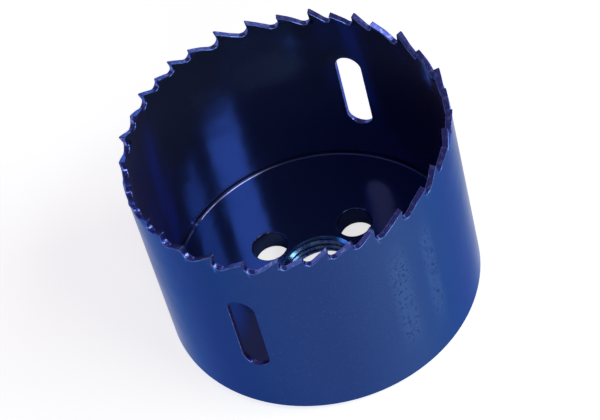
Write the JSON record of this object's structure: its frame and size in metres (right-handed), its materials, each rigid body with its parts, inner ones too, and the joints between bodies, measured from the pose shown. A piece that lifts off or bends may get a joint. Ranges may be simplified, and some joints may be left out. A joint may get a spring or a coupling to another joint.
{
  "type": "hole saw",
  "caption": "Bare cup-shaped hole saw: a thin rolled band with a ring of hooked, set teeth and two side slots, on a thick disc with a tapped arbor hole and drive-pin holes.",
  "frame": {"origin": "centre of the end cap's back face, on the saw's axis, where the saw stands", "axes": "+Z along the saw's axis from the back face towards the teeth; the two side slots lie on the Y axis"},
  "size_m": [0.0646, 0.0644, 0.0461],
  "materials": {
    "band_enamel": "semi-gloss enamel",
    "cap_enamel": "semi-gloss enamel",
    "weld_enamel": "semi-gloss enamel over weld"
  },
  "bodies": {
    "root": {"toothed_band": "band_enamel", "end_cap": "cap_enamel", "weld_ring": "weld_enamel"}
  },
  "joints": []
}
